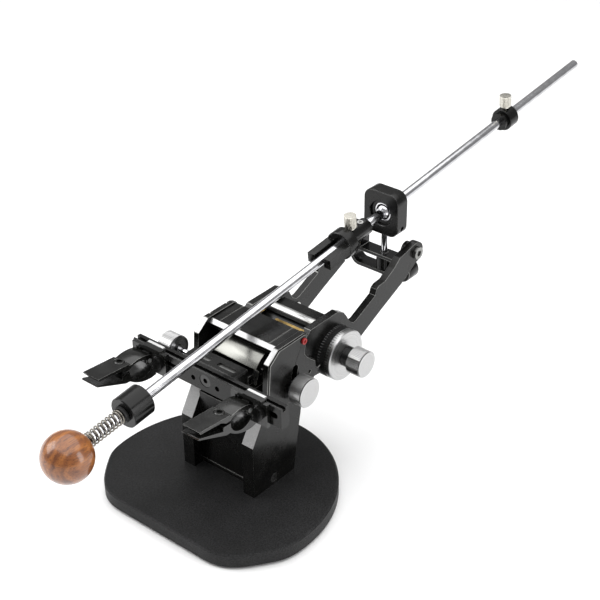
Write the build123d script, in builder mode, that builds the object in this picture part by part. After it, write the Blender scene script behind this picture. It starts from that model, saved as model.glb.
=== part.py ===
from build123d import *
import os
from math import asin, cos, pi, sin, tan

# Guided-rod honing system, millimetres. +X runs right along the clamp bar, +Y runs backwards from the
# handle, +Z is up. The origin is the centre of the base's resting face.

os.makedirs("parts", exist_ok=True)

# --- driving dimensions ---
foot_height = 2.0
base_thickness = 12.0
base_top = foot_height + base_thickness
base_half_width = 98.0

pedestal_outer = 38.2
pedestal_wall = 11.5
pedestal_top = 84.5
head_inner = 33.9
head_outer = 40.0
core_half_width = 26.6

bar_axis_z = 116.3
bar_half_length = 77.2
bar_front = -25.0
bar_rear = -16.5
bar_bottom = 106.0
bar_top = 124.5

pivot_y = 92.0
pivot_z = 98.0
arm_inner = 27.1
arm_outer = 33.6
dial_radius = 21.8
stud_y = 33.4
stud_z = 97.5

trunnion_y = 204.4
trunnion_z = 139.7
pin_radius = 3.0

rod_radius = 4.0
rod_length = 683.0
rod_angle = asin(0.11073)
handle_y = -164.9
handle_z = 128.1
handle_radius = 19.5
bearing_z = handle_z + (trunnion_y - handle_y) * tan(rod_angle)

screw_gap = 0.05
end_gap = 0.3


def save(piece, name):
    piece.label = name
    export_step(piece, f"parts/{name}.step")


def facing_x(x, y, z):
    return Plane(origin=(x, y, z), x_dir=(0, 1, 0), z_dir=(1, 0, 0))


def facing_back(x, y, z):
    return Plane(origin=(x, y, z), x_dir=(-1, 0, 0), z_dir=(0, 1, 0))


def facing_up(x, y, z):
    return Plane(origin=(x, y, z), x_dir=(1, 0, 0), z_dir=(0, 0, 1))


def on_rod(distance):
    """Plane across the rod, at a distance from the handle's centre, with its y upwards."""
    run = cos(rod_angle)
    rise = sin(rod_angle)
    origin = (0, handle_y + distance * run, handle_z + distance * rise)
    return Plane(origin=origin, x_dir=(-1, 0, 0), z_dir=(0, run, rise))


def disc(plane, radius, length, bore=0.0, mode=Mode.ADD):
    """Round bar or ring standing on a plane."""
    with BuildSketch(plane) as profile:
        Circle(radius)
        if bore:
            Circle(bore, mode=Mode.SUBTRACT)
    extrude(profile.sketch, amount=length, mode=mode)


def knurled(plane, radius, length, ridges, bore=0.0):
    """Wheel with straight V grooves round its rim, standing on a plane."""
    groove = 0.42 * pi * radius / ridges
    with BuildSketch(plane) as profile:
        Circle(radius)
        with PolarLocations(radius, ridges):
            RegularPolygon(groove, 4, mode=Mode.SUBTRACT)
        if bore:
            Circle(bore, mode=Mode.SUBTRACT)
    extrude(profile.sketch, amount=length)


def block(x_from, x_to, y_from, y_to, z_from, z_to, mode=Mode.ADD):
    """Square-cornered block between six faces."""
    with BuildSketch(Plane.XY.offset(z_from)) as profile:
        with Locations(((x_from + x_to) / 2, (y_from + y_to) / 2)):
            Rectangle(x_to - x_from, y_to - y_from)
    extrude(profile.sketch, amount=z_to - z_from, mode=mode)


def side_plate(outline, x_from, x_to, mode=Mode.ADD):
    """Plate with a (y, z) outline, between two distances along X."""
    with BuildSketch(Plane.YZ.offset(x_from)) as profile:
        with BuildLine():
            Polyline(*outline, close=True)
        make_face()
    extrude(profile.sketch, amount=x_to - x_from, mode=mode)


def hex_recess(plane, across, depth):
    """Hexagon socket cut into a screw head along the plane's normal."""
    with BuildSketch(plane) as profile:
        RegularPolygon(across / 2, 6, major_radius=False)
    extrude(profile.sketch, amount=depth, mode=Mode.SUBTRACT)


# --- base and feet ---

corner_start = 45.0
base_front = -84.0
base_rear_length = 103.5
base_centre_y = -20.0

with BuildPart() as base_plate:
    with BuildSketch(Plane.XY.offset(foot_height)):
        with BuildLine():
            Line((-corner_start, base_front), (corner_start, base_front))
            right_corner = Spline(
                (corner_start, base_front),
                (70, -76),
                (88, -55),
                (base_half_width, base_centre_y),
                tangents=((1, 0), (0, 1)),
            )
            EllipticalCenterArc((0, base_centre_y), base_half_width, base_rear_length, arc_size=180)
            mirror(right_corner, about=Plane.YZ)
        make_face()
    extrude(amount=base_thickness)
    chamfer(base_plate.faces().sort_by(Axis.Z)[-1].edges(), 1.2)
    chamfer(base_plate.faces().sort_by(Axis.Z)[0].edges(), 0.8)
save(base_plate.part, "base_plate")

with BuildPart() as rubber_feet:
    with BuildSketch(Plane.XY):
        with Locations((-66, -58), (66, -58), (-66, 30), (66, 30), (0, 0)):
            Circle(10)
    extrude(amount=foot_height)
save(rubber_feet.part, "rubber_feet")

# --- pedestal: two side plates and a web ---

pedestal_outline = (
    (-15, base_top),
    (-15, 63),
    (-2, pedestal_top),
    (47, pedestal_top),
    (44, 71),
    (38, 39),
    (34, base_top),
)
pedestal_inner = pedestal_outer - pedestal_wall
web_front = -5.0
web_rear = 15.0
screw_head_y = 9.5
screw_head_z = 20.0

for side, name in ((-1, "pedestal_left"), (1, "pedestal_right")):
    near = min(side * pedestal_inner, side * pedestal_outer)
    with BuildPart() as pedestal_plate:
        side_plate(pedestal_outline, near, near + pedestal_wall)
        outer_face = facing_x(side * (pedestal_outer - 2.5), screw_head_y, screw_head_z)
        disc(outer_face, 4.3, side * 2.6, mode=Mode.SUBTRACT)
    save(pedestal_plate.part, name)

with BuildPart() as pedestal_web:
    block(-pedestal_inner, pedestal_inner, web_front, web_rear, base_top, pedestal_top)
    block(-pedestal_inner, pedestal_inner, web_front, web_front + 0.6, 18, 18.8, mode=Mode.SUBTRACT)
save(pedestal_web.part, "pedestal_web")

with BuildPart() as side_screws:
    for side in (-1, 1):
        head_base = side * (pedestal_outer - 2.5)
        disc(facing_x(head_base, screw_head_y, screw_head_z), 4.2, side * 2.0)
        hex_recess(facing_x(head_base + side * 2.0, screw_head_y, screw_head_z), 3.0, -side * 1.4)
save(side_screws.part, "side_screws")

# --- head: core, cheeks, plates and pivot bracket ---

shaft_radius = 4.0
shaft_bore = shaft_radius + screw_gap
core_front = 2.0
core_rear = 60.0
core_top = 117.0

with BuildPart() as head_core:
    side_plate(
        (
            (core_front, pedestal_top),
            (core_front, core_top),
            (24, 121),
            (34, 131),
            (core_rear - 8, 131),
            (core_rear, 120),
            (core_rear, pedestal_top),
        ),
        -core_half_width,
        core_half_width,
    )
    block(-24.6, 24.6, 0, 26, 113.6, 140, mode=Mode.SUBTRACT)
    block(20, core_half_width, 0, 12, 106, 140, mode=Mode.SUBTRACT)
save(head_core.part, "head_core")

cheek_outline = (
    (3, pedestal_top),
    (3, 108),
    (4.9, 130.7),
    (16.6, 139.6),
    (47, 139.6),
    (51, 138),
    (48, 121),
    (51, 117),
    (55, 113),
    (60, 109),
    (60.5, 102),
    (63, 99.5),
    (67, 100),
    (56.8, 91.4),
    (48, pedestal_top),
)
slot_width = 6.8
slot_radius = pivot_y - stud_y
slot_path = CenterArc((pivot_y, pivot_z), slot_radius, 165.5, 19.5)

for side, name in ((-1, "cheek_left"), (1, "cheek_right")):
    near = min(side * head_inner, side * head_outer)
    with BuildPart() as cheek:
        side_plate(cheek_outline, near, near + head_outer - head_inner)
        outer = cheek.faces().sort_by(Axis.X)[-1 if side > 0 else 0]
        chamfer(outer.edges().filter_by(lambda edge: edge.center().Z > 107), 1.2)
        disc(facing_x(near, 53, 100.8), 1.5, head_outer - head_inner, mode=Mode.SUBTRACT)
        if side > 0:
            with BuildSketch(Plane.YZ.offset(near)):
                SlotArc(slot_path, slot_width)
            extrude(amount=head_outer - head_inner, mode=Mode.SUBTRACT)
        else:
            for slot_y in (24, 43.5):
                block(-40, -37.5, slot_y - 1.2, slot_y + 1.2, 137.6, 140, mode=Mode.SUBTRACT)
    save(cheek.part, name)

with BuildPart() as top_plate:
    side_plate(
        ((17.5, 135), (21, 138), (50, 138), (50, 132.2), (17.5, 132.2)),
        -head_inner,
        head_inner,
    )
    for groove_x in (-26, 26):
        block(groove_x - 0.5, groove_x + 0.5, 21, 50, 137.4, 138, mode=Mode.SUBTRACT)
save(top_plate.part, "top_plate")

tray_half_width = 22.5

with BuildPart() as steel_tray:
    with BuildSketch(Plane.YZ.offset(-tray_half_width)):
        with BuildLine():
            ThreePointArc((8.4, 118.3), (15.5, 125.5), (27, 129.5))
            Line((27, 129.5), (27, 127.5))
            ThreePointArc((27, 127.5), (16.5, 123.8), (9.9, 117.2))
            Line((9.9, 117.2), (8.4, 118.3))
        make_face()
    extrude(amount=2 * tray_half_width)
    side_plate(((8.4, 118.3), (15.5, 125.0), (22, 127), (22, 114), (12, 114)), 21, tray_half_width)
    side_plate(((8.4, 118.3), (9.9, 117.2), (5.9, 107), (4.4, 107.6)), 20.5, tray_half_width + 3.5)
save(steel_tray.part, "steel_tray")

stud_line_y = -5.2
lock_stud_radius = 2.4
split_left = -33.0
split_right = 22.0
split_front = -15.0
split_rear = 1.6
split_top = 122.6
pocket_centres_x = (-18.6, 7.4)
pocket_centre_y = -7.6
pocket_length = 19.0
pocket_width = 4.6
pocket_depth = 1.6

with BuildPart() as split_block:
    block(split_left, split_right, split_front, split_rear, 106, split_top)
    fillet(split_block.edges().filter_by(Axis.Z).group_by(Axis.Y)[-1], 3.0)
    chamfer(split_block.faces().sort_by(Axis.Z)[-1].edges(), 1.0)
    disc(facing_back(0, split_front, bar_axis_z), shaft_bore, split_rear - split_front, mode=Mode.SUBTRACT)
    disc(
        facing_x(split_left, stud_line_y, bar_axis_z),
        lock_stud_radius + screw_gap,
        -split_left - shaft_radius + 1,
        mode=Mode.SUBTRACT,
    )
    with BuildSketch(Plane.XY.offset(split_top)):
        with Locations([(pocket_x, pocket_centre_y) for pocket_x in pocket_centres_x]):
            SlotOverall(pocket_length, pocket_width)
    extrude(amount=-pocket_depth, mode=Mode.SUBTRACT)
save(split_block.part, "split_block")

with BuildPart() as brass_strip:
    block(5.5, head_inner - end_gap, 50, 54, 134, 136.8)
save(brass_strip.part, "brass_strip")

with BuildPart() as red_set_screw:
    disc(facing_x(head_outer, 45.7, 133.5), 2.6, 1.4)
    hex_recess(facing_x(head_outer + 1.4, 45.7, 133.5), 2.4, -1.0)
save(red_set_screw.part, "red_set_screw")

axle_radius = 6.0
axle_left = -36.5
axle_right = 50.0
bracket_radius = 28.0
bracket_half_width = 24.0

with BuildPart() as pivot_bracket:
    side_plate(
        ((core_rear, 118), (core_rear, 86), (76, 76), (96, 74), (112, 86), (112, 108), (98, 124), (80, 124)),
        -bracket_half_width,
        bracket_half_width,
    )
    with BuildSketch(Plane.YZ.offset(-bracket_half_width)):
        with Locations((pivot_y, pivot_z)):
            Circle(bracket_radius)
        with BuildLine():
            Polyline((core_rear, 118), (core_rear, 86), (pivot_y, 86), (pivot_y, 118), close=True)
        make_face()
    extrude(amount=2 * bracket_half_width, mode=Mode.INTERSECT)
    disc(
        facing_x(-bracket_half_width, pivot_y, pivot_z),
        axle_radius,
        2 * bracket_half_width,
        mode=Mode.SUBTRACT,
    )
save(pivot_bracket.part, "pivot_bracket")

with BuildPart() as pivot_axle:
    disc(facing_x(axle_left, pivot_y, pivot_z), axle_radius, axle_right - axle_left)
    disc(facing_x(axle_left - 3, pivot_y, pivot_z), 9.0, 3.0)
    hex_recess(facing_x(axle_left - 3, pivot_y, pivot_z), 6.0, 2.0)
save(pivot_axle.part, "pivot_axle")

# --- clamp bar on its rotary shaft ---

groove_front = -23.6
groove_rear = -20.4
groove_floor = 121.4
counterbore_radius = 5.6
counterbore_depth = 3.4

with BuildPart() as clamp_bar:
    block(-bar_half_length, bar_half_length, bar_front, bar_rear, bar_bottom, bar_top)
    chamfer(clamp_bar.edges().filter_by(Axis.X), 0.6)
    block(
        -bar_half_length, bar_half_length, groove_front, groove_rear, groove_floor, bar_top, mode=Mode.SUBTRACT
    )
    disc(facing_back(0, bar_front, bar_axis_z), shaft_radius, bar_rear - bar_front, mode=Mode.SUBTRACT)
    disc(
        facing_back(0, bar_front, bar_axis_z), counterbore_radius, counterbore_depth, mode=Mode.SUBTRACT
    )
    for side in (-1, 1):
        hole = facing_back(side * 12.5, bar_front, 114.5)
        disc(hole, 2.2, 6.0, mode=Mode.SUBTRACT)
        with BuildSketch(facing_back(side * 35, bar_front, bar_axis_z)):
            SlotOverall(14, 3.2)
        extrude(amount=4.0, mode=Mode.SUBTRACT)
        with BuildSketch(facing_back(side * 69, bar_front, bar_axis_z)):
            SlotOverall(8.5, 5.2)
        extrude(amount=6.0, mode=Mode.SUBTRACT)
save(clamp_bar.part, "clamp_bar")

with BuildPart() as rotary_shaft:
    disc(
        facing_back(0, bar_front + counterbore_depth, bar_axis_z),
        shaft_radius,
        split_rear - bar_front - counterbore_depth - 0.4,
    )
save(rotary_shaft.part, "rotary_shaft")

with BuildPart() as bar_screw:
    disc(facing_back(0, bar_front + 0.4, bar_axis_z), counterbore_radius - 0.2, counterbore_depth - 0.4)
    hex_recess(facing_back(0, bar_front + 0.4, bar_axis_z), 4.0, 2.0)
save(bar_screw.part, "bar_screw")

# --- bar lock: a knurled knob whose stud presses on the rotary shaft from the left ---

lock_knob_inner = -46.3
lock_knob_outer = -60.3
lock_knob_radius = 11.0
lock_knob_rim = 1.7
lock_knob_dish = 0.8
lock_boss_radius = 3.6
lock_dish_radius = 8.6

with BuildPart() as bar_lock_stud:
    disc(
        facing_x(lock_knob_inner + 1.0, stud_line_y, bar_axis_z),
        lock_stud_radius,
        -shaft_radius - end_gap - lock_knob_inner - 1.0,
    )
save(bar_lock_stud.part, "bar_lock_stud")

with BuildPart() as bar_lock_knob:
    knurled(
        facing_x(lock_knob_outer, stud_line_y, bar_axis_z),
        lock_knob_radius,
        lock_knob_inner - lock_knob_rim - lock_knob_outer,
        54,
    )
    disc(facing_x(lock_knob_inner - lock_knob_rim, stud_line_y, bar_axis_z), lock_knob_radius - 0.4, lock_knob_rim)
    disc(
        facing_x(lock_knob_inner, stud_line_y, bar_axis_z),
        lock_knob_radius - 1.6,
        -lock_knob_dish,
        mode=Mode.SUBTRACT,
    )
    disc(
        facing_x(lock_knob_inner - lock_knob_dish, stud_line_y, bar_axis_z),
        lock_boss_radius,
        lock_knob_dish + 1.0,
    )
    disc(
        facing_x(lock_knob_outer, stud_line_y, bar_axis_z),
        lock_dish_radius,
        lock_knob_dish,
        mode=Mode.SUBTRACT,
    )
save(bar_lock_knob.part, "bar_lock_knob")

# --- the two blade clamps ---

jaw_half_width = 8.5
saddle_left = 13.0
saddle_right = 23.0
saddle_front = -28.4
saddle_face = bar_front - end_gap
saddle_bottom = 104.3
saddle_top = bar_top + end_gap
key_gap = 0.3
key_start = -1.0
key_end = 16.0
key_top = bar_top + 1.6
jaw_pin_y = -31.0
jaw_pin_z = 115.8
jaw_pin_radius = 1.8
pin_rise = 0.5
jaw_hub_radius = 3.6
hub_pocket_depth = 1.5
lug_half_width = 3.5
lug_radius = 3.4
jaw_screw_y = -55.0
jaw_screw_z = 124.0
jaw_screw_radius = 2.0
jaw_screw_head = 4.2
jaw_screw_seat = -2.4
jaw_screw_rise = 0.5
jaw_head_gap = 0.4
clamp_knob_offset = 16.5
clamp_knob_radius = 5.0
clamp_knob_length = 3.4
clamp_stud_radius = 2.5


def jaw_screw_plane(centre_x, height):
    """Plane square to the upper jaw's flat, above or below it on the jaw screw's axis."""
    lean_y = 0.0895
    lean_z = 0.996
    origin = (centre_x, jaw_screw_y + lean_y * height, jaw_screw_z + lean_z * height)
    return Plane(origin=origin, x_dir=(1, 0, 0), z_dir=(0, lean_y, lean_z))


def make_carriage(centre_x, name):
    """Saddle in front of the bar, hooked over its top edge, with the fixed lower jaw and its trough."""
    left = centre_x - jaw_half_width
    saddle_end = centre_x + saddle_right
    with BuildPart() as carriage:
        with BuildSketch(Plane.YZ.offset(left)):
            with BuildLine():
                Line((saddle_face, saddle_top), (saddle_front, saddle_top))
                Line((saddle_front, saddle_top), (saddle_front, 110.6))
                ThreePointArc((saddle_front, 110.6), (-40.5, 104.0), (-52.3, 112.2))
                Line((-52.3, 112.2), (-52.5, 116.4))
                Line((-52.5, 116.4), (-60.4, 116.8))
                Line((-60.4, 116.8), (-60.8, 113.2))
                Line((-60.8, 113.2), (-86.2, 121.9))
                Line((-86.2, 121.9), (-86.8, 120.5))
                Line((-86.8, 120.5), (-57.4, 108.2))
                Line((-57.4, 108.2), (-53.2, 107.9))
                ThreePointArc((-53.2, 107.9), (-43.5, 101.9), (-30.3, 99.3))
                Line((-30.3, 99.3), (saddle_face, 99.8))
                Line((saddle_face, 99.8), (saddle_face, saddle_top))
            make_face()
        extrude(amount=2 * jaw_half_width)
        block(centre_x - saddle_left, saddle_end, saddle_front, saddle_face, saddle_bottom, saddle_top)
        block(
            left - 0.3,
            left + 2 * jaw_half_width + 0.3,
            saddle_front,
            saddle_front + hub_pocket_depth,
            jaw_pin_z - 4.0,
            jaw_pin_z + 6.2,
            mode=Mode.SUBTRACT,
        )
        block(
            centre_x + key_start,
            centre_x + key_end + 2.0,
            saddle_front,
            groove_front + key_gap,
            saddle_top,
            key_top,
        )
        lug_left = facing_x(centre_x - lug_half_width, jaw_pin_y, jaw_pin_z)
        disc(lug_left, lug_radius, 2 * lug_half_width)
        block(
            centre_x - lug_half_width,
            centre_x + lug_half_width,
            jaw_pin_y,
            saddle_front + hub_pocket_depth,
            jaw_pin_z - lug_radius,
            jaw_pin_z + 2.6,
        )
        disc(lug_left, jaw_pin_radius, 2 * lug_half_width, mode=Mode.SUBTRACT)
        disc(jaw_screw_plane(centre_x, -17), 3.2, 12, mode=Mode.SUBTRACT)
        knob_stud = facing_back(centre_x + clamp_knob_offset, saddle_front, bar_axis_z)
        disc(knob_stud, clamp_stud_radius + screw_gap, 2.4, mode=Mode.SUBTRACT)
    save(carriage.part, name)


def make_fittings(centre_x, name):
    """Bright steel pieces of one clamp: the jaw's pivot pin and the key that slides in the bar's groove."""
    with BuildPart() as fittings:
        pin_end = facing_x(centre_x - jaw_half_width, jaw_pin_y, jaw_pin_z)
        disc(pin_end, jaw_pin_radius, 2 * jaw_half_width + pin_rise)
        block(
            centre_x + key_start,
            centre_x + key_end,
            groove_front + key_gap,
            groove_rear - key_gap,
            groove_floor + key_gap,
            key_top,
        )
    save(fittings.part, name)


def make_upper_jaw(centre_x, name):
    """Flat jaw, arched over to a hub that straddles the saddle's lug."""
    left = centre_x - jaw_half_width
    hub_plane = facing_x(left, jaw_pin_y, jaw_pin_z)
    with BuildPart() as upper_jaw:
        with BuildSketch(Plane.YZ.offset(left)):
            with BuildLine():
                Line((-85.4, 126.7), (-52.9, 123.8))
                Line((-52.9, 123.8), (-52.4, 122.5))
                Line((-52.4, 122.5), (-50.5, 122.3))
                ThreePointArc((-50.5, 122.3), (-40.5, 123.3), (-30.0, 121.0))
                Line((-30.0, 121.0), (-28.3, 118.6))
                Line((-28.3, 118.6), (jaw_pin_y, jaw_pin_z))
                Line((jaw_pin_y, jaw_pin_z), (-34.4, 117.6))
                ThreePointArc((-34.4, 117.6), (-41.5, 120.6), (-50.0, 120.2))
                Line((-50.0, 120.2), (-52.6, 118.7))
                Line((-52.6, 118.7), (-57.0, 118.6))
                Line((-57.0, 118.6), (-62.5, 121.9))
                Line((-62.5, 121.9), (-84.2, 124.3))
                Line((-84.2, 124.3), (-85.4, 126.7))
            make_face()
        extrude(amount=2 * jaw_half_width)
        disc(hub_plane, jaw_hub_radius, 2 * jaw_half_width)
        slot_half = lug_half_width + 0.25
        block(
            centre_x - slot_half,
            centre_x + slot_half,
            jaw_pin_y - 4.4,
            jaw_pin_y + 5,
            jaw_pin_z - 5,
            jaw_pin_z + 4,
            mode=Mode.SUBTRACT,
        )
        disc(hub_plane, jaw_pin_radius + screw_gap, 2 * jaw_half_width, mode=Mode.SUBTRACT)
        disc(jaw_screw_plane(centre_x, -8), jaw_screw_radius + screw_gap, 9, mode=Mode.SUBTRACT)
        disc(jaw_screw_plane(centre_x, jaw_screw_seat), jaw_screw_head + jaw_head_gap, 5, mode=Mode.SUBTRACT)
    save(upper_jaw.part, name)


def make_jaw_screw(centre_x, name):
    with BuildPart() as jaw_screw:
        head_bottom = jaw_screw_seat + screw_gap
        disc(jaw_screw_plane(centre_x, head_bottom), jaw_screw_head, jaw_screw_rise - head_bottom)
        chamfer(jaw_screw.edges().sort_by(Axis.Z)[-1], 0.6)
        disc(jaw_screw_plane(centre_x, -15.5), jaw_screw_radius, 14)
        hex_recess(jaw_screw_plane(centre_x, jaw_screw_rise), 4.6, -2.0)
    save(jaw_screw.part, name)


def make_clamp_knob(centre_x, name):
    """Knurled black knob that locks the saddle, with its stud."""
    knob_x = centre_x + clamp_knob_offset
    with BuildPart() as clamp_knob:
        knob_front = facing_back(knob_x, saddle_front - end_gap - clamp_knob_length, bar_axis_z)
        knurled(knob_front, clamp_knob_radius, clamp_knob_length, 30)
        disc(facing_back(knob_x, saddle_front - end_gap, bar_axis_z), clamp_stud_radius, 2.3)
    save(clamp_knob.part, name)


for clamp_x, side_name in ((-62.0, "left"), (43.0, "right")):
    make_carriage(clamp_x, f"{side_name}_carriage")
    make_fittings(clamp_x, f"{side_name}_clamp_fittings")
    make_upper_jaw(clamp_x, f"{side_name}_upper_jaw")
    make_jaw_screw(clamp_x, f"{side_name}_jaw_screw")
    make_clamp_knob(clamp_x, f"{side_name}_clamp_knob")

# --- arms on the head's cross axis ---

arm_outline = (
    (62, 132.5),
    (97, 132.5),
    (104.7, 128),
    (108.5, 122.8),
    (112.5, 115.5),
    (117.0, 112.4),
    (121.2, 112.8),
    (146.7, 124.1),
    (148.6, 129.2),
    (152.5, 131.3),
    (160.5, 131.7),
    (172.7, 138.2),
    (181.1, 144.8),
    (trunnion_y, trunnion_z + 9.5),
    (trunnion_y, trunnion_z - 9.5),
    (184.7, 118.5),
    (154, 105.4),
    (129.7, 94.1),
    (112, 84),
    (100, 80),
    (88, 80),
    (79.5, 91),
    (71, 91.5),
    (29, 91),
    (25.5, 97),
    (27, 105),
    (45, 118),
)
arm_end_radius = 9.5
trunnion_screw_radius = 3.0
recess_depth = 3.6
relief_depth = 5.2

for side, name in ((-1, "arm_left"), (1, "arm_right")):
    near = min(side * arm_inner, side * arm_outer)
    width = arm_outer - arm_inner
    relief_near = min(side * arm_inner, side * (arm_inner + relief_depth))
    with BuildPart() as arm:
        side_plate(arm_outline, near, near + width)
        disc(facing_x(near, trunnion_y, trunnion_z), arm_end_radius, width)
        disc(facing_x(near, pivot_y, pivot_z), axle_radius + screw_gap, width, mode=Mode.SUBTRACT)
        disc(
            facing_x(near, trunnion_y, trunnion_z),
            trunnion_screw_radius + screw_gap,
            width,
            mode=Mode.SUBTRACT,
        )
        with BuildSketch(Plane.YZ.offset(relief_near)):
            with Locations((200, 119)):
                Rectangle(32, 22)
            with Locations((trunnion_y, trunnion_z)):
                Circle(arm_end_radius, mode=Mode.SUBTRACT)
        extrude(amount=relief_depth, mode=Mode.SUBTRACT)
        if side > 0:
            disc(
                facing_x(arm_outer - recess_depth, pivot_y, pivot_z),
                dial_radius + 0.4,
                recess_depth,
                mode=Mode.SUBTRACT,
            )
            disc(facing_x(near, stud_y, stud_z), 3.0, width, mode=Mode.SUBTRACT)
        else:
            disc(facing_x(near, 117.7, 103.8), 3.2, width, mode=Mode.SUBTRACT)
    save(arm.part, name)

cross_y = 77.0
cross_z = 127.5

with BuildPart() as cross_shaft:
    disc(facing_x(-arm_inner, cross_y, cross_z), 4.0, 2 * arm_inner)
save(cross_shaft.part, "cross_shaft")

with BuildPart() as arm_screw:
    disc(facing_x(-arm_outer, 117.7, 103.8), 3.2, arm_outer - arm_inner)
    disc(facing_x(-arm_inner, 117.7, 103.8), 4.4, 0.8)
    hex_recess(facing_x(-arm_inner + 0.8, 117.7, 103.8), 3.0, -1.2)
save(arm_screw.part, "arm_screw")

stud_end = 48.0

with BuildPart() as lock_stud:
    disc(facing_x(arm_inner, stud_y, stud_z), 3.0, stud_end - arm_inner)
save(lock_stud.part, "lock_stud")

# --- graduated dial, its knob and the arm lock knob ---

hub_left = arm_outer - recess_depth + 0.2
hub_right = 39.8
dial_right = 46.1
dial_knob_left = dial_right + 0.3
dial_knob_right = 67.0
dial_knob_radius = 11.5
knob_lip = 0.6

with BuildPart() as dial_hub:
    knurled(facing_x(hub_left, pivot_y, pivot_z), dial_radius, hub_right - hub_left, 72, axle_radius + screw_gap)
save(dial_hub.part, "dial_hub")

with BuildPart() as dial_disc:
    disc(facing_x(hub_right, pivot_y, pivot_z), dial_radius, dial_right - hub_right, axle_radius + screw_gap)
    chamfer(dial_disc.edges().filter_by(GeomType.CIRCLE).group_by(SortBy.RADIUS)[-1], 0.7)
save(dial_disc.part, "dial_disc")

with BuildPart() as dial_knob:
    disc(facing_x(dial_knob_left, pivot_y, pivot_z), 8.6, 8.0, axle_radius + screw_gap)
    knurled(
        facing_x(dial_knob_left + 8, pivot_y, pivot_z),
        dial_knob_radius,
        dial_knob_right - dial_knob_left - 8 - knob_lip,
        54,
    )
    disc(facing_x(dial_knob_right - knob_lip, pivot_y, pivot_z), dial_knob_radius - knob_lip, knob_lip)
save(dial_knob.part, "dial_knob")

arm_knob_left = 44.5
arm_knob_right = 56.0
arm_knob_radius = 12.4

with BuildPart() as arm_lock_knob:
    disc(facing_x(head_outer + end_gap, stud_y, stud_z), 7.0, arm_knob_left - head_outer - end_gap)
    knurled(
        facing_x(arm_knob_left, stud_y, stud_z),
        arm_knob_radius,
        arm_knob_right - arm_knob_left - knob_lip,
        56,
    )
    disc(facing_x(arm_knob_right - knob_lip, stud_y, stud_z), arm_knob_radius - knob_lip, knob_lip)
    disc(
        facing_x(head_outer, stud_y, stud_z),
        3.0 + screw_gap,
        stud_end - head_outer + 0.3,
        mode=Mode.SUBTRACT,
    )
save(arm_lock_knob.part, "arm_lock_knob")

# --- trunnion between the arm ends, height pin and micro nut ---

ring_half_width = 32.0
ring_bottom = 110.0
ring_top = 128.5
ring_half_depth = 7.0
ring_bar = 3.2
ear_outer = arm_inner - 0.3
ear_inner = 21.5
ring_centre_z = (ring_bottom + ring_top) / 2
ring_height = ring_top - ring_bottom

with BuildPart() as trunnion_yoke:
    with BuildSketch(Plane.XZ.offset(-trunnion_y - ring_half_depth)):
        with Locations((0, ring_centre_z)):
            SlotOverall(2 * ring_half_width, ring_height)
            SlotOverall(2 * (ring_half_width - ring_bar), ring_height - 2 * ring_bar, mode=Mode.SUBTRACT)
    extrude(amount=2 * ring_half_depth)
    for side in (-1, 1):
        near = min(side * ear_inner, side * ear_outer)
        block(
            near,
            near + ear_outer - ear_inner,
            trunnion_y - ring_half_depth,
            trunnion_y + ring_half_depth,
            ring_top - 3.0,
            trunnion_z,
        )
        disc(facing_x(near, trunnion_y, trunnion_z), ring_half_depth, ear_outer - ear_inner)
        disc(facing_x(near, trunnion_y, trunnion_z), trunnion_screw_radius, ear_outer - ear_inner, mode=Mode.SUBTRACT)
    disc(
        facing_up(0, trunnion_y, ring_bottom - 1),
        pin_radius + screw_gap,
        ring_height + 2,
        mode=Mode.SUBTRACT,
    )
save(trunnion_yoke.part, "trunnion_yoke")

with BuildPart() as yoke_screws:
    for side in (-1, 1):
        head = side * (arm_outer + 0.3)
        disc(facing_x(side * ear_inner, trunnion_y, trunnion_z), trunnion_screw_radius, head - side * ear_inner)
        disc(facing_x(head, trunnion_y, trunnion_z), 5.5, side * 2.6)
        hex_recess(facing_x(head + side * 2.6, trunnion_y, trunnion_z), 5.0, -side * 1.8)
save(yoke_screws.part, "yoke_screws")

nut_radius = 7.0
nut_gap = 0.3
nut_bottom = ring_bottom + ring_bar + nut_gap
nut_height = ring_height - 2 * ring_bar - 2 * nut_gap

with BuildPart() as micro_nut:
    knurled(facing_up(0, trunnion_y, nut_bottom), nut_radius, nut_height, 32, pin_radius + screw_gap)
save(micro_nut.part, "micro_nut")

# --- hinge block on the height pin, with its ball bearing ---

block_half_width = 18.0
block_half_depth = 7.0
block_half_height = 20.0
race_radius = 11.5
liner_radius = 9.5
ball_radius = 8.0
sleeve_radius = 5.0
block_bottom = bearing_z - block_half_height

with BuildPart() as hinge_pin:
    disc(facing_up(0, trunnion_y, 104), pin_radius, block_bottom + 6 - 104)
save(hinge_pin.part, "hinge_pin")

with BuildPart() as hinge_block:
    with BuildSketch(Plane.XZ.offset(-trunnion_y - block_half_depth)):
        with Locations((0, bearing_z)):
            RectangleRounded(2 * block_half_width, 2 * block_half_height, 9)
            Circle(race_radius, mode=Mode.SUBTRACT)
    extrude(amount=2 * block_half_depth)
    chamfer(
        hinge_block.edges().filter_by(lambda edge: abs(abs(edge.center().Y - trunnion_y) - block_half_depth) < 0.01),
        0.6,
    )
    disc(facing_up(0, trunnion_y, block_bottom - 1), pin_radius, 7, mode=Mode.SUBTRACT)
    disc(facing_x(block_half_width - 6, trunnion_y, 157), 2.2, 6, mode=Mode.SUBTRACT)
save(hinge_block.part, "hinge_block")

race_half_depth = 4.5

with BuildPart() as bearing_race:
    disc(facing_back(0, trunnion_y - race_half_depth, bearing_z), race_radius, 2 * race_half_depth)
    with Locations((0, trunnion_y, bearing_z)):
        Sphere(liner_radius + screw_gap, mode=Mode.SUBTRACT)
save(bearing_race.part, "bearing_race")

liner_half_depth = 3.6

with BuildPart() as bearing_liner:
    disc(facing_back(0, trunnion_y - liner_half_depth, bearing_z), 12, 2 * liner_half_depth)
    with Locations((0, trunnion_y, bearing_z)):
        Sphere(liner_radius, mode=Mode.INTERSECT)
        Sphere(ball_radius + screw_gap, mode=Mode.SUBTRACT)
save(bearing_liner.part, "bearing_liner")

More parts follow.
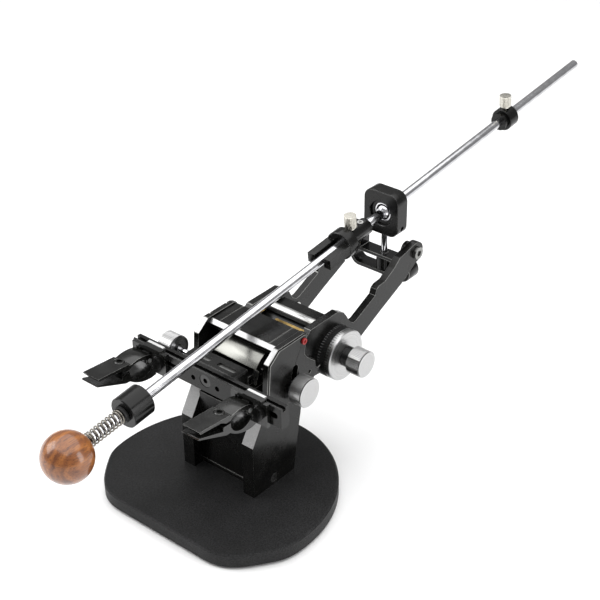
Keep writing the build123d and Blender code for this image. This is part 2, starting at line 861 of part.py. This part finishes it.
bearing_distance = (trunnion_y - handle_y) / cos(rod_angle)
ball_half_length = 6.4

with BuildPart() as bearing_ball:
    disc(on_rod(bearing_distance - ball_half_length), 10, 2 * ball_half_length)
    with Locations(on_rod(bearing_distance)):
        Sphere(ball_radius, mode=Mode.INTERSECT)
    disc(
        on_rod(bearing_distance - ball_half_length),
        sleeve_radius + screw_gap,
        2 * ball_half_length,
        mode=Mode.SUBTRACT,
    )
save(bearing_ball.part, "bearing_ball")

with BuildPart() as bearing_sleeve:
    disc(
        on_rod(bearing_distance - ball_half_length),
        sleeve_radius,
        2 * ball_half_length,
        rod_radius + screw_gap,
    )
save(bearing_sleeve.part, "bearing_sleeve")

# --- guide rod and handle ---

handle_socket = 10.0

with BuildPart() as guide_rod:
    disc(on_rod(handle_socket), rod_radius, rod_length - handle_socket)
    chamfer(guide_rod.edges(), 0.6)
save(guide_rod.part, "guide_rod")

with BuildPart() as handle_ball:
    with Locations(on_rod(0)):
        Sphere(handle_radius)
    disc(on_rod(handle_socket), rod_radius, handle_radius, mode=Mode.SUBTRACT)
    disc(on_rod(handle_radius - 1.2), handle_radius, handle_radius, mode=Mode.SUBTRACT)
save(handle_ball.part, "handle_ball")

# --- spring, washer and front holder ---

spring_start = 20.0
spring_end = 52.0
wire_radius = 0.65
coil_radius = 5.35
coil_count = 6.0
washer_length = 2.6
collar_start = 55.0
collar_length = 20.6
collar_radius = 12.5
spring_length = spring_end - spring_start - 2 * wire_radius

with BuildPart() as spring:
    with BuildLine():
        coil = Helix(
            spring_length / coil_count,
            spring_length,
            coil_radius,
            center=on_rod(spring_start + wire_radius).origin,
            direction=on_rod(0).z_dir,
        )
    with BuildSketch(Plane(origin=coil @ 0, z_dir=coil % 0)):
        Circle(wire_radius)
    sweep()
save(spring.part, "spring")

with BuildPart() as spring_washer:
    disc(on_rod(spring_end), 7.0, washer_length, rod_radius + screw_gap)
save(spring_washer.part, "spring_washer")

with BuildPart() as front_holder:
    disc(on_rod(collar_start), collar_radius, collar_length)
    chamfer(front_holder.edges(), 0.6)
    disc(on_rod(collar_start), rod_radius + screw_gap, collar_length, mode=Mode.SUBTRACT)
    with BuildSketch(on_rod(collar_start + 9)):
        with Locations((0, -collar_radius)):
            Rectangle(14, 10)
    extrude(amount=collar_length, mode=Mode.SUBTRACT)
save(front_holder.part, "front_holder")

# --- rear holder with its prongs, screws and thumbscrew ---

prong_tip = 281.0
prong_offset = 8.4
prong_rise = 0.4
prong_width = 7.0
prong_height = 8.8
holder_ring_start = 307.0
holder_ring_end = 318.0
holder_end = 343.5
holder_ring_radius = 12.8
holder_body_radius = 7.5
thumbscrew_distance = 324.0
set_screw_distance = 336.8
thumb_stud_radius = 2.0
set_screw_radius = 2.6
set_screw_depth = 1.6

with BuildPart() as rear_holder:
    disc(on_rod(holder_ring_start), holder_ring_radius, holder_ring_end - holder_ring_start)
    chamfer(rear_holder.edges(), 0.6)
    disc(on_rod(holder_ring_end), holder_body_radius, holder_end - holder_ring_end)
    with BuildSketch(on_rod(prong_tip)):
        with Locations((-prong_offset, prong_rise), (prong_offset, prong_rise)):
            Rectangle(prong_width, prong_height)
    extrude(amount=holder_ring_start - prong_tip)
    disc(on_rod(holder_ring_start), rod_radius + screw_gap, holder_end - holder_ring_start, mode=Mode.SUBTRACT)
    stud_seat = Plane(
        origin=on_rod(thumbscrew_distance).origin, x_dir=(1, 0, 0), z_dir=on_rod(0).y_dir
    ).offset(rod_radius + 0.6)
    disc(stud_seat, thumb_stud_radius + screw_gap, 6, mode=Mode.SUBTRACT)
    set_screw_seat = Plane(
        origin=on_rod(set_screw_distance).origin, x_dir=(1, 0, 0), z_dir=on_rod(0).y_dir
    ).offset(holder_body_radius - set_screw_depth)
    disc(set_screw_seat, set_screw_radius + screw_gap, set_screw_depth + 1, mode=Mode.SUBTRACT)
save(rear_holder.part, "rear_holder")

with BuildPart() as rear_set_screw:
    disc(set_screw_seat.offset(screw_gap), set_screw_radius, set_screw_depth)
    hex_recess(set_screw_seat.offset(screw_gap + set_screw_depth), 2.6, -1.2)
save(rear_set_screw.part, "rear_set_screw")


def make_thumbscrew(distance, seat_height, head_radius, head_length, name):
    """Knurled screw standing square to the rod, on a boss at a height above the rod's axis."""
    axis = Plane(origin=on_rod(distance).origin, x_dir=(1, 0, 0), z_dir=on_rod(0).y_dir)
    with BuildPart() as thumbscrew:
        disc(axis.offset(rod_radius + 0.8), thumb_stud_radius, seat_height - rod_radius)
        disc(axis.offset(seat_height + end_gap), 3.6, 2.0)
        knurled(axis.offset(seat_height + end_gap + 2.0), head_radius, head_length, 28)
        chamfer(thumbscrew.faces().sort_by(Axis.Z)[-1].edges(), 0.3)
    save(thumbscrew.part, name)


make_thumbscrew(thumbscrew_distance, holder_body_radius + 0.5, 5.3, 11.0, "rear_thumbscrew")

# --- end stop on the rod's free end ---

stop_start = 547.0
stop_ring_start = 552.0
stop_end = 565.0
stop_radius = 10.5

with BuildPart() as end_stop:
    disc(on_rod(stop_start), 8.0, stop_ring_start - stop_start)
    disc(on_rod(stop_ring_start), stop_radius, stop_end - stop_ring_start)
    chamfer(end_stop.edges().filter_by(GeomType.CIRCLE).group_by(SortBy.RADIUS)[-1], 0.5)
    disc(on_rod(stop_start), rod_radius + screw_gap, stop_end - stop_start, mode=Mode.SUBTRACT)
    stop_axis = Plane(
        origin=on_rod((stop_ring_start + stop_end) / 2).origin, x_dir=(1, 0, 0), z_dir=on_rod(0).y_dir
    )
    disc(stop_axis.offset(rod_radius + 0.6), thumb_stud_radius + screw_gap, 9, mode=Mode.SUBTRACT)
save(end_stop.part, "end_stop")

make_thumbscrew((stop_ring_start + stop_end) / 2, stop_radius, 5.5, 10.0, "end_thumbscrew")
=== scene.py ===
import math

import bmesh
import bpy
from mathutils import Matrix, Vector


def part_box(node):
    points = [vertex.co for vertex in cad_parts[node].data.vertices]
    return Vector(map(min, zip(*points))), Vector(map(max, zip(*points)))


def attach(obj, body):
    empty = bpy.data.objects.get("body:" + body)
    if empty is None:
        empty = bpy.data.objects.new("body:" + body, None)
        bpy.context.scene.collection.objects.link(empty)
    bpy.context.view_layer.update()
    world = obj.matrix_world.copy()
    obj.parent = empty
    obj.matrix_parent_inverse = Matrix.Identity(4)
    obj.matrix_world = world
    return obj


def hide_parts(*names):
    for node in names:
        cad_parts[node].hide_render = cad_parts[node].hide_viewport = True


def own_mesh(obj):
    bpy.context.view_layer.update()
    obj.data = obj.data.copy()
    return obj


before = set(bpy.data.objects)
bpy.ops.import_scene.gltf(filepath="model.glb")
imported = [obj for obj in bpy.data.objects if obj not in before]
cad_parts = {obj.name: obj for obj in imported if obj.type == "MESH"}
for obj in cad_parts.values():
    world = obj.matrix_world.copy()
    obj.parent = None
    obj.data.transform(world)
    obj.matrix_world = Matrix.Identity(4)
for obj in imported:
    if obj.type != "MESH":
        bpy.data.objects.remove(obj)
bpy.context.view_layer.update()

MM = 0.001

# --- camera: the photograph's direction, distance and lens ---

CAMERA_AZIMUTH = math.radians(40.0)
CAMERA_ELEVATION = math.radians(31.7)
CAMERA_ROLL = math.radians(-0.63)
CAMERA_DISTANCE = 1.1397
CAMERA_TARGET = Vector((0.0, 0.0895, 0.1344))
CAMERA_CLIP_END = 20.0
FOCAL_IN_WIDTHS = 2.335
SENSOR_MM = 36.0


def make_camera():
    """Camera at the photograph's viewing angle, with no depth of field and no shift."""
    a, e, r = CAMERA_AZIMUTH, CAMERA_ELEVATION, CAMERA_ROLL
    back = Vector((math.sin(a) * math.cos(e), -math.cos(a) * math.cos(e), math.sin(e)))
    right = Vector((math.cos(a), math.sin(a), 0.0))
    up = back.cross(right)
    turned_right = math.cos(r) * right + math.sin(r) * up
    turned_up = back.cross(turned_right)
    data = bpy.data.cameras.new("camera")
    data.sensor_width = SENSOR_MM
    data.lens = FOCAL_IN_WIDTHS * SENSOR_MM
    data.clip_end = CAMERA_CLIP_END
    camera = bpy.data.objects.new("camera", data)
    bpy.context.scene.collection.objects.link(camera)
    place = CAMERA_TARGET + back * CAMERA_DISTANCE
    turn = Matrix((turned_right, turned_up, back)).transposed()
    camera.matrix_world = Matrix.Translation(place) @ turn.to_4x4()
    bpy.context.scene.camera = camera


make_camera()

# --- floor, world and lights ---

WORLD_STRENGTH = 0.34
FLOOR_HALF_WIDTH = 6.0
OBJECT_MIDDLE = (0.0, 0.05, 0.12)


def grey(level):
    """Colour without a hue, from its level."""
    return (level, level, level)


def make_world():
    """Even, dim white surroundings, so that the softboxes shape the metal."""
    world = bpy.data.worlds.new("studio")
    world.use_nodes = True
    background = world.node_tree.nodes["Background"]
    background.inputs["Color"].default_value = (*grey(1.0), 1.0)
    background.inputs["Strength"].default_value = WORLD_STRENGTH
    bpy.context.scene.world = world
    bpy.context.scene.view_settings.view_transform = "Standard"


def make_floor():
    """Plain white paper, far wider than the view."""
    half = FLOOR_HALF_WIDTH
    corners = [(-half, -half, 0.0), (half, -half, 0.0), (half, half, 0.0), (-half, half, 0.0)]
    mesh = bpy.data.meshes.new("floor")
    mesh.from_pydata(corners, [], [(0, 1, 2, 3)])
    floor = bpy.data.objects.new("floor", mesh)
    bpy.context.scene.collection.objects.link(floor)
    material = bpy.data.materials.new("floor_paper")
    material.use_nodes = True
    shader = material.node_tree.nodes["Principled BSDF"]
    shader.inputs["Base Color"].default_value = (*grey(0.95), 1.0)
    shader.inputs["Roughness"].default_value = 0.9
    mesh.materials.append(material)


def make_light(name, place, target, size, power):
    """Rectangular softbox at a place, aimed at a target, with its size in metres and power in watts."""
    data = bpy.data.lights.new(name, "AREA")
    data.shape = "RECTANGLE"
    data.size, data.size_y = size
    data.energy = power
    light = bpy.data.objects.new(name, data)
    light.location = place
    light.rotation_euler = (Vector(target) - Vector(place)).to_track_quat("-Z", "Y").to_euler()
    bpy.context.scene.collection.objects.link(light)


make_world()
make_floor()
make_light("overhead", place=(0.0, 0.1, 1.5), target=(0.0, 0.1, 0.1), size=(2.6, 2.6), power=40.0)
make_light("left_box", place=(-1.1, -0.7, 0.9), target=OBJECT_MIDDLE, size=(0.9, 0.9), power=10.0)
make_light("right_box", place=(1.3, 0.3, 0.5), target=OBJECT_MIDDLE, size=(0.5, 1.0), power=7.0)

# --- material helpers ---


class Nodes:
    """Small wrapper that builds one node material around a Principled shader."""

    def __init__(self, name):
        self.material = bpy.data.materials.new(name)
        self.material.use_nodes = True
        self.tree = self.material.node_tree
        self.shader = self.tree.nodes["Principled BSDF"]

    def add(self, kind, **values):
        node = self.tree.nodes.new(kind)
        for key, value in values.items():
            setattr(node, key, value)
        return node

    def link(self, source, target):
        self.tree.links.new(source, target)

    def shade(self, **sources):
        """Links outputs to the shader's inputs, named with _ for each space."""
        for key, source in sources.items():
            self.link(source, self.shader.inputs[key.replace("_", " ")])

    def set(self, **values):
        """Sets uniform values on the shader's inputs, named with _ for each space."""
        for key, value in values.items():
            self.shader.inputs[key.replace("_", " ")].default_value = value

    def coordinates(self, output="Object"):
        return self.add("ShaderNodeTexCoord").outputs[output]

    def noise(self, vector, scale, detail=3.0, roughness=0.5):
        node = self.add("ShaderNodeTexNoise")
        node.inputs["Scale"].default_value = scale
        node.inputs["Detail"].default_value = detail
        node.inputs["Roughness"].default_value = roughness
        self.link(vector, node.inputs["Vector"])
        return node.outputs["Fac"]

    def ramp(self, factor, low, high, start=0.3, end=0.7):
        """Colour between low and high as the factor goes from start to end."""
        node = self.add("ShaderNodeValToRGB")
        node.color_ramp.elements[0].position = start
        node.color_ramp.elements[0].color = (*low, 1.0)
        node.color_ramp.elements[1].position = end
        node.color_ramp.elements[1].color = (*high, 1.0)
        self.link(factor, node.inputs["Fac"])
        return node.outputs["Color"]

    def span(self, factor, low, high, start=0.0, end=1.0):
        """Number between low and high as the factor goes from start to end."""
        node = self.add("ShaderNodeMapRange")
        node.inputs["From Min"].default_value = start
        node.inputs["From Max"].default_value = end
        node.inputs["To Min"].default_value = low
        node.inputs["To Max"].default_value = high
        self.link(factor, node.inputs["Value"])
        return node.outputs["Result"]

    def math(self, operation, first, second=None):
        """Result of a number operation on sockets or plain numbers."""
        node = self.add("ShaderNodeMath", operation=operation)
        for socket, value in zip(node.inputs, (first, second)):
            if isinstance(value, (int, float)):
                socket.default_value = value
            elif value is not None:
                self.link(value, socket)
        return node.outputs["Value"]

    def vector_math(self, operation, first, second=None, output="Vector"):
        """Result of a vector operation on sockets or plain vectors."""
        node = self.add("ShaderNodeVectorMath", operation=operation)
        for socket, value in zip(node.inputs, (first, second)):
            if isinstance(value, (tuple, Vector)):
                socket.default_value = value
            elif value is not None:
                self.link(value, socket)
        return node.outputs[output]

    def multiply(self, colour, factor_colour, amount=1.0):
        mix = self.add("ShaderNodeMix", data_type="RGBA", blend_type="MULTIPLY")
        mix.inputs["Factor"].default_value = amount
        self.link(colour, mix.inputs["A"])
        self.link(factor_colour, mix.inputs["B"])
        return mix.outputs["Result"]

    def stretched(self, vector, scale):
        node = self.add("ShaderNodeMapping")
        node.inputs["Scale"].default_value = scale
        self.link(vector, node.inputs["Vector"])
        return node.outputs["Vector"]

    def bump(self, height, strength, distance):
        node = self.add("ShaderNodeBump")
        node.inputs["Strength"].default_value = strength
        node.inputs["Distance"].default_value = distance
        self.link(height, node.inputs["Height"])
        self.link(node.outputs["Normal"], self.shader.inputs["Normal"])


# Each of these functions takes the darker and the lighter colour of its pattern.


def powder_coat(name, colour, lighter):
    """Powder coat: fine orange-peel texture and a slightly uneven sheen."""
    m = Nodes(name)
    place = m.coordinates()
    grain = m.noise(place, scale=850.0, detail=4.0, roughness=0.65)
    cloud = m.noise(place, scale=30.0, detail=2.0)
    speckle = m.ramp(grain, grey(0.3), grey(1.9), start=0.38, end=0.62)
    m.shade(
        Base_Color=m.multiply(m.ramp(cloud, colour, lighter), speckle),
        Roughness=m.span(grain, low=0.4, high=0.62),
    )
    m.bump(grain, strength=0.7, distance=0.4 * MM)
    m.set(Specular_IOR_Level=0.22)
    return m.material


def anodised(name, colour, lighter, roughness, specular=0.4):
    """Satin skin with a fine blasted grain and faint handling marks."""
    m = Nodes(name)
    place = m.coordinates()
    grain = m.noise(place, scale=1100.0, detail=3.0, roughness=0.6)
    marks = m.noise(place, scale=55.0, detail=5.0, roughness=0.65)
    m.shade(
        Base_Color=m.ramp(marks, colour, lighter),
        Roughness=m.span(marks, roughness - 0.06, roughness + 0.1, start=0.3, end=0.7),
    )
    m.bump(grain, strength=0.12, distance=0.1 * MM)
    m.set(Specular_IOR_Level=specular)
    return m.material


def brushed(name, colour, lighter, roughness, direction):
    """Bright brushed metal, with fine scratches along the X, Y or Z direction."""
    m = Nodes(name)
    scale = [2600.0, 2600.0, 2600.0]
    scale["XYZ".index(direction)] = 40.0
    lines = m.noise(m.stretched(m.coordinates(), scale), scale=1.0, detail=3.0, roughness=0.6)
    m.shade(
        Base_Color=m.ramp(lines, colour, lighter),
        Roughness=m.span(lines, roughness - 0.08, roughness + 0.1, start=0.3, end=0.7),
    )
    m.bump(lines, strength=0.15, distance=0.05 * MM)
    m.set(Metallic=1.0)
    return m.material


def polished(name, colour, lighter, roughness):
    """Chromed or ground metal, with faint smears in the polish."""
    m = Nodes(name)
    smears = m.noise(m.coordinates(), scale=90.0, detail=4.0, roughness=0.6)
    m.shade(
        Base_Color=m.ramp(smears, colour, lighter),
        Roughness=m.span(smears, roughness, roughness + 0.07, start=0.35, end=0.7),
    )
    m.bump(smears, strength=0.03, distance=0.05 * MM)
    m.set(Metallic=1.0)
    return m.material


AXIS_X = (1.0, 0.0, 0.0)

# Graduations: their spacing, the share of it that a line takes, and where the lines end.
MARK_SPACING = math.radians(6.0)
MARK_SHARE = 0.22
MARK_RIGHT_END = 0.4 * MM


def graduated(m, tone, spot, facing, colour):
    """The tone with graduation lines in another colour on the left half of the rim."""
    parts = m.add("ShaderNodeSeparateXYZ")
    m.link(spot, parts.inputs["Vector"])
    turn = m.math("ARCTAN2", parts.outputs["Y"], parts.outputs["Z"])
    position = m.math("FRACT", m.math("DIVIDE", turn, MARK_SPACING))
    on_line = m.math("LESS_THAN", position, MARK_SHARE)
    on_rim = m.math("LESS_THAN", facing, 0.5)
    on_left = m.math("LESS_THAN", parts.outputs["X"], MARK_RIGHT_END)
    line = m.math("MULTIPLY", on_line, m.math("MULTIPLY", on_rim, on_left))
    mix = m.add("ShaderNodeMix", data_type="RGBA")
    mix.inputs["B"].default_value = (*colour, 1.0)
    m.link(line, mix.inputs["Factor"])
    m.link(tone, mix.inputs["A"])
    return mix.outputs["Result"]


def turned(node_name, radius, colour, lighter, roughness, metallic=1.0, marks=None):
    """Material of a node turned about the X direction: tool rings on its ends, with painted shade
    darkening the knurl or teeth.

    radius is the outer one, in metres, and marks is the colour of its graduations, if it has any.
    """
    low, high = (Vector(corner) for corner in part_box(node_name))
    m = Nodes(f"turned_{node_name}")
    spot = m.vector_math("SUBTRACT", m.coordinates(), (low + high) / 2)
    across = m.vector_math("CROSS_PRODUCT", spot, AXIS_X)
    distance = m.vector_math("LENGTH", across, output="Value")
    rings = m.add("ShaderNodeTexNoise", noise_dimensions="1D")
    rings.inputs["Scale"].default_value = 2200.0
    rings.inputs["Detail"].default_value = 3.0
    m.link(distance, rings.inputs["W"])
    cuts = rings.outputs["Fac"]
    fine = m.noise(spot, scale=800.0, detail=3.0, roughness=0.6)
    normal = m.coordinates("Normal")
    facing = m.math("ABSOLUTE", m.vector_math("DOT_PRODUCT", normal, AXIS_X, output="Value"))
    # Painted shade: the colour darkens to 8% below the outer radius, except on the end faces, so the knurl
    # or tooth grooves look shaded.
    groove_shade = m.span(distance, 0.08, 1.0, start=radius - 0.3 * MM, end=radius - 0.03 * MM)
    shade_free = m.math("MAXIMUM", groove_shade, m.span(facing, 0.0, 1.0, start=0.5, end=0.8))
    tone = m.multiply(
        m.ramp(cuts, colour, lighter), m.ramp(shade_free, grey(0.0), grey(1.0), start=0.0, end=1.0)
    )
    if marks:
        tone = graduated(m, tone, spot, facing, marks)
    m.shade(
        Base_Color=tone,
        Roughness=m.span(cuts, roughness - 0.07, roughness + 0.1, start=0.3, end=0.7),
    )
    m.bump(m.math("ADD", cuts, m.math("MULTIPLY", fine, 0.3)), strength=0.2, distance=0.08 * MM)
    m.set(Metallic=metallic)
    return m.material


def lacquered_wood():
    """Orange-brown turned wood: fine dark grain and pores under a clear coat."""
    m = Nodes("lacquered_wood")
    place = m.coordinates()
    grain_space = m.stretched(place, (1.3, 0.5, 0.9))
    warp = m.noise(grain_space, scale=70.0, detail=4.0, roughness=0.6)
    rings = m.add("ShaderNodeTexWave", wave_type="BANDS", bands_direction="X")
    rings.inputs["Scale"].default_value = 38.0
    rings.inputs["Distortion"].default_value = 11.0
    rings.inputs["Detail"].default_value = 4.0
    rings.inputs["Detail Scale"].default_value = 1.5
    m.link(grain_space, rings.inputs["Vector"])
    fibres = m.noise(m.stretched(place, (1100.0, 90.0, 1100.0)), scale=1.0, detail=5.0, roughness=0.65)
    blend = m.math("ADD", m.math("MULTIPLY", rings.outputs["Fac"], 0.3), m.math("MULTIPLY", warp, 0.75))
    tone = m.add("ShaderNodeValToRGB")
    stops = tone.color_ramp.elements
    stops[0].position = 0.1
    stops[0].color = (0.05, 0.012, 0.004, 1.0)
    stops[1].position = 0.85
    stops[1].color = (0.42, 0.15, 0.028, 1.0)
    stops.new(0.4).color = (0.21, 0.062, 0.011, 1.0)
    m.link(blend, tone.inputs["Fac"])
    pores = m.ramp(fibres, (0.3, 0.24, 0.2), grey(1.0), start=0.34, end=0.52)
    m.shade(
        Base_Color=m.multiply(tone.outputs["Color"], pores, amount=0.8),
        Roughness=m.span(warp, low=0.3, high=0.45),
    )
    m.bump(fibres, strength=0.1, distance=0.1 * MM)
    m.set(Coat_Weight=0.7, Coat_Roughness=0.1)
    return m.material


# --- materials ---

black_base = powder_coat("base_powder", (0.008, 0.008, 0.0082), (0.013, 0.013, 0.0135))
rubber = powder_coat("rubber", grey(0.015), grey(0.025))

black_body = anodised(
    "body_anodised", (0.0015, 0.0015, 0.0014), (0.0055, 0.0055, 0.005), roughness=0.22, specular=0.3
)
clamp_black = anodised(
    "clamp_blackened", (0.003, 0.003, 0.0027), (0.008, 0.0082, 0.0072), roughness=0.2, specular=0.6
)
black_plastic = anodised("washer_plastic", grey(0.01), grey(0.016), roughness=0.45)
red = anodised("red_screw", (0.25, 0.012, 0.014), (0.38, 0.025, 0.02), roughness=0.3)

milled = brushed("milled_edge", grey(0.3), grey(0.54), roughness=0.36, direction="Z")
steel = brushed("brushed_steel", (0.42, 0.42, 0.41), (0.66, 0.66, 0.65), roughness=0.3, direction="X")
tray_steel = brushed("tray_steel", (0.2, 0.2, 0.185), (0.3, 0.3, 0.28), roughness=0.27, direction="Z")
key_steel = brushed("key_steel", grey(0.7), grey(0.88), roughness=0.42, direction="X")
# Painted highlight, partly real chamfer: this lighter metal on the bevels paints the bright lines along
# the black parts' edges.
chamfer_highlight = brushed("chamfer_highlight", (0.12, 0.12, 0.115), (0.3, 0.3, 0.29), roughness=0.36, direction="Y")

rod_steel = polished("rod_steel", (0.52, 0.52, 0.54), (0.7, 0.7, 0.72), roughness=0.14)
nickel = polished("nickel", (0.5, 0.48, 0.43), (0.68, 0.66, 0.6), roughness=0.24)
dark_steel = polished("dark_steel", grey(0.16), (0.28, 0.28, 0.27), roughness=0.28)
chrome = polished("chrome", (0.62, 0.62, 0.64), (0.8, 0.8, 0.82), roughness=0.07)
brass = polished("brass", (0.5, 0.33, 0.1), (0.68, 0.47, 0.18), roughness=0.2)
spring_wire = polished("spring_wire", (0.16, 0.145, 0.12), (0.3, 0.28, 0.25), roughness=0.2)

wood = lacquered_wood()

# --- finish of each CAD node: black_body unless it is listed ---

finishes = {
    "base_plate": black_base,
    "rubber_feet": rubber,
    "side_screws": dark_steel,
    "steel_tray": tray_steel,
    "brass_strip": brass,
    "red_set_screw": red,
    "pivot_axle": steel,
    "rotary_shaft": steel,
    "bar_screw": clamp_black,
    "bar_lock_stud": chrome,
    "cross_shaft": steel,
    "arm_screw": steel,
    "lock_stud": steel,
    "yoke_screws": dark_steel,
    "hinge_pin": chrome,
    "bearing_liner": chrome,
    "bearing_ball": chrome,
    "bearing_sleeve": chrome,
    "guide_rod": rod_steel,
    "handle_ball": wood,
    "rear_set_screw": steel,
    "rear_thumbscrew": nickel,
    "end_thumbscrew": nickel,
    "spring_washer": black_plastic,
}
for side in ("left", "right"):
    finishes[f"{side}_carriage"] = clamp_black
    finishes[f"{side}_upper_jaw"] = clamp_black
    finishes[f"{side}_jaw_screw"] = clamp_black
    finishes[f"{side}_clamp_fittings"] = key_steel

# Outer radii, in millimetres.
KNOB_RADII = {"dial_disc": 20.8, "dial_knob": 11.5, "arm_lock_knob": 12.4, "bar_lock_knob": 11.0}
HUB_RADIUS = 21.8
MARK_COLOURS = {"dial_disc": grey(0.03)}
for node_name, radius in KNOB_RADII.items():
    finishes[node_name] = turned(
        node_name,
        radius * MM,
        colour=grey(0.4),
        lighter=grey(0.62),
        roughness=0.27,
        marks=MARK_COLOURS.get(node_name),
    )
finishes["dial_hub"] = turned(
    "dial_hub",
    HUB_RADIUS * MM,
    colour=grey(0.004),
    lighter=grey(0.009),
    roughness=0.4,
    metallic=0.0,
    marks=grey(0.2),
)

# --- bevelled edges, lighter as milled chamfer and painted highlight: the width of each node's bevel, in millimetres ---

EDGE_ANGLE = math.radians(35)
WELD_DISTANCE = 0.01 * MM

bevels = {
    "pedestal_left": 0.5,
    "pedestal_right": 0.5,
    "pedestal_web": 0.2,
    "cheek_left": 0.35,
    "cheek_right": 0.35,
    "head_core": 0.25,
    "split_block": 0.3,
    "top_plate": 0.25,
    "steel_tray": 0.2,
    "clamp_bar": 0.18,
    "arm_left": 0.45,
    "arm_right": 0.45,
    "trunnion_yoke": 0.5,
    "hinge_block": 0.3,
    "bearing_race": 0.3,
    "rear_holder": 0.3,
}
for side in ("left", "right"):
    bevels[f"{side}_carriage"] = 0.18
    bevels[f"{side}_upper_jaw"] = 0.18
    bevels[f"{side}_jaw_screw"] = 0.25


def dress(node, material, edge, bevel):
    """Gives a CAD node its material, and bevelled edges in another by modifiers alone."""
    node.data.materials.clear()
    node.data.materials.append(material)
    if bevel:
        node.data.materials.append(edge)
        node.modifiers.new("weld", "WELD").merge_threshold = WELD_DISTANCE
        modifier = node.modifiers.new("edge", "BEVEL")
        modifier.material = 1
        modifier.width = bevel * MM
        modifier.segments = 2
        modifier.limit_method = "ANGLE"
        modifier.angle_limit = EDGE_ANGLE


for name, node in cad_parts.items():
    finish = finishes.get(name, black_body)
    edge = tray_steel if finish is tray_steel else chamfer_highlight
    dress(node, finish, edge, bevels.get(name, 0.0))

# --- faces with a finish of their own ---

# Slopes of the milled edges, from their rise and run in millimetres.
PEDESTAL_SLOPE = math.atan2(21.5, 13.0)
CHEEK_SLOPE = math.atan2(8.9, 11.7)
TOP_PLATE_SLOPE = math.atan2(3.0, 3.5)
SLOPE_TOLERANCE = math.radians(2.0)


def mill_faces(node_name, material, slope, below=math.inf):
    """Gives a material to the node's faces that rise backwards at this slope, below a height in metres."""
    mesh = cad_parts[node_name].data
    mesh.materials.append(material)
    normal = Vector((0.0, -math.sin(slope), math.cos(slope)))
    for face in mesh.polygons:
        if face.normal.angle(normal, math.pi) < SLOPE_TOLERANCE and face.center.z < below:
            face.material_index = len(mesh.materials) - 1


for side in ("left", "right"):
    mill_faces(f"pedestal_{side}", milled, PEDESTAL_SLOPE)
    mill_faces(f"cheek_{side}", milled, CHEEK_SLOPE)
mill_faces("top_plate", milled, TOP_PLATE_SLOPE)
block_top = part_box("split_block")[1][2]
mill_faces("split_block", dark_steel, 0.0, below=block_top - 1.0 * MM)

# --- spring between the handle and the front holder ---

# Rise of the rod for each unit of its length.
ROD_RISE = 0.11073
ROD_ANGLE = math.asin(ROD_RISE)
ROD = Vector((0.0, math.cos(ROD_ANGLE), math.sin(ROD_ANGLE)))
ACROSS = Vector((1.0, 0.0, 0.0))
UPWARD = ACROSS.cross(ROD)
SPRING_START = 20.0 * MM
SPRING_LENGTH = 32.0 * MM
SPRING_TURNS = 9.5
STEPS_PER_TURN = 32
WIRE_RADIUS = 0.65 * MM
WIRE_SIDES = 10


def spring_path(centre, coil_radius):
    """Points along the wire's middle, which starts and ends with one closed turn."""
    start = SPRING_START + WIRE_RADIUS
    length = SPRING_LENGTH - 2 * WIRE_RADIUS
    closed_rise = 2 * WIRE_RADIUS
    open_turns = SPRING_TURNS - 2.0
    path = []
    for step in range(int(SPRING_TURNS * STEPS_PER_TURN) + 1):
        turn = step / STEPS_PER_TURN
        closed = closed_rise * min(turn, 1.0) + closed_rise * max(turn - (SPRING_TURNS - 1.0), 0.0)
        open_part = min(max(turn - 1.0, 0.0), open_turns) / open_turns
        along = start + closed + open_part * (length - 2 * closed_rise)
        angle = 2 * math.pi * turn
        outward = ACROSS * math.cos(angle) + UPWARD * math.sin(angle)
        path.append(centre + ROD * along + outward * coil_radius)
    return path


def wire_mesh(path, centre):
    """Closed round wire along a path that winds about the rod's line through the centre."""
    shape = bmesh.new()
    rings = []
    for step, point in enumerate(path):
        ahead = (path[min(step + 1, len(path) - 1)] - path[max(step - 1, 0)]).normalized()
        outward = (point - centre) - ROD * (point - centre).dot(ROD)
        outward.normalize()
        sideways = ahead.cross(outward).normalized()
        ring = []
        for k in range(WIRE_SIDES):
            angle = 2 * math.pi * k / WIRE_SIDES
            offset = (outward * math.cos(angle) + sideways * math.sin(angle)) * WIRE_RADIUS
            ring.append(shape.verts.new(point + offset))
        rings.append(ring)
    for first, second in zip(rings, rings[1:]):
        for k in range(WIRE_SIDES):
            after = (k + 1) % WIRE_SIDES
            shape.faces.new((first[k], first[after], second[after], second[k]))
    shape.faces.new(rings[0])
    shape.faces.new(list(reversed(rings[-1])))
    bmesh.ops.recalc_face_normals(shape, faces=shape.faces)
    for face in shape.faces:
        face.smooth = True
    mesh = bpy.data.meshes.new("coil_spring")
    shape.to_mesh(mesh)
    shape.free()
    return mesh


def make_spring():
    """Coil spring around the rod in front of the handle ball, carried by the guide."""
    low, high = (Vector(corner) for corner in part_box("spring"))
    ball_low, ball_high = (Vector(corner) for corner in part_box("handle_ball"))
    ball_radius = (ball_high.x - ball_low.x) / 2
    centre = Vector((0.0, ball_low.y + ball_radius, ball_low.z + ball_radius))
    coil_radius = (high.x - low.x) / 2 - WIRE_RADIUS
    mesh = wire_mesh(spring_path(centre, coil_radius), centre)
    mesh.materials.append(spring_wire)
    piece = bpy.data.objects.new("coil_spring", mesh)
    bpy.context.scene.collection.objects.link(piece)
    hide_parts("spring")
    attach(piece, "guide")
    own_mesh(piece)


make_spring()
